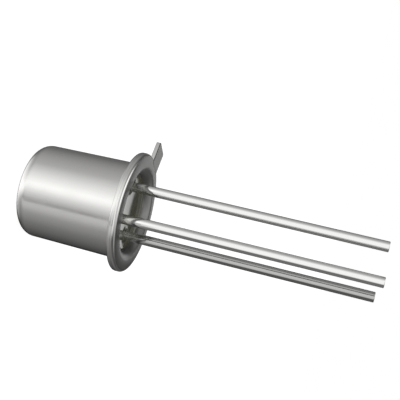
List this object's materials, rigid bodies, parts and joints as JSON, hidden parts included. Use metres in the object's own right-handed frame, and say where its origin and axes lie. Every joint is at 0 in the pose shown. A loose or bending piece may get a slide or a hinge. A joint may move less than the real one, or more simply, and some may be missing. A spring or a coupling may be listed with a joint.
{
  "type": "bipolar transistor",
  "caption": "Bipolar transistor in a small round metal can, with an index tab on its flange and straight wire leads in a glass seal.",
  "frame": {"origin": "centre of the lead circle on the seating plane, which is the lead side of the flange", "axes": "+Z along the leads, away from the can; +X through the emitter lead; the index tab is at 45 degrees between +X and -Y"},
  "size_m": [0.0061, 0.0061, 0.0176],
  "materials": {
    "can_nickel": "satin nickel plating on drawn steel",
    "header_nickel": "bright nickel plating on stamped iron-nickel-cobalt alloy",
    "lead_tin": "bright solder-coated wire",
    "seal_glass": "dark glossy fused glass",
    "silicon": "polished silicon",
    "gold": "bright gold"
  },
  "bodies": {
    "root": {"cap": "can_nickel", "header": "header_nickel", "glass_seal": "seal_glass", "emitter_lead": "lead_tin", "base_lead": "lead_tin", "collector_lead": "lead_tin", "die": "silicon", "die_bond": "gold", "emitter_wire": "gold", "base_wire": "gold"}
  },
  "joints": []
}
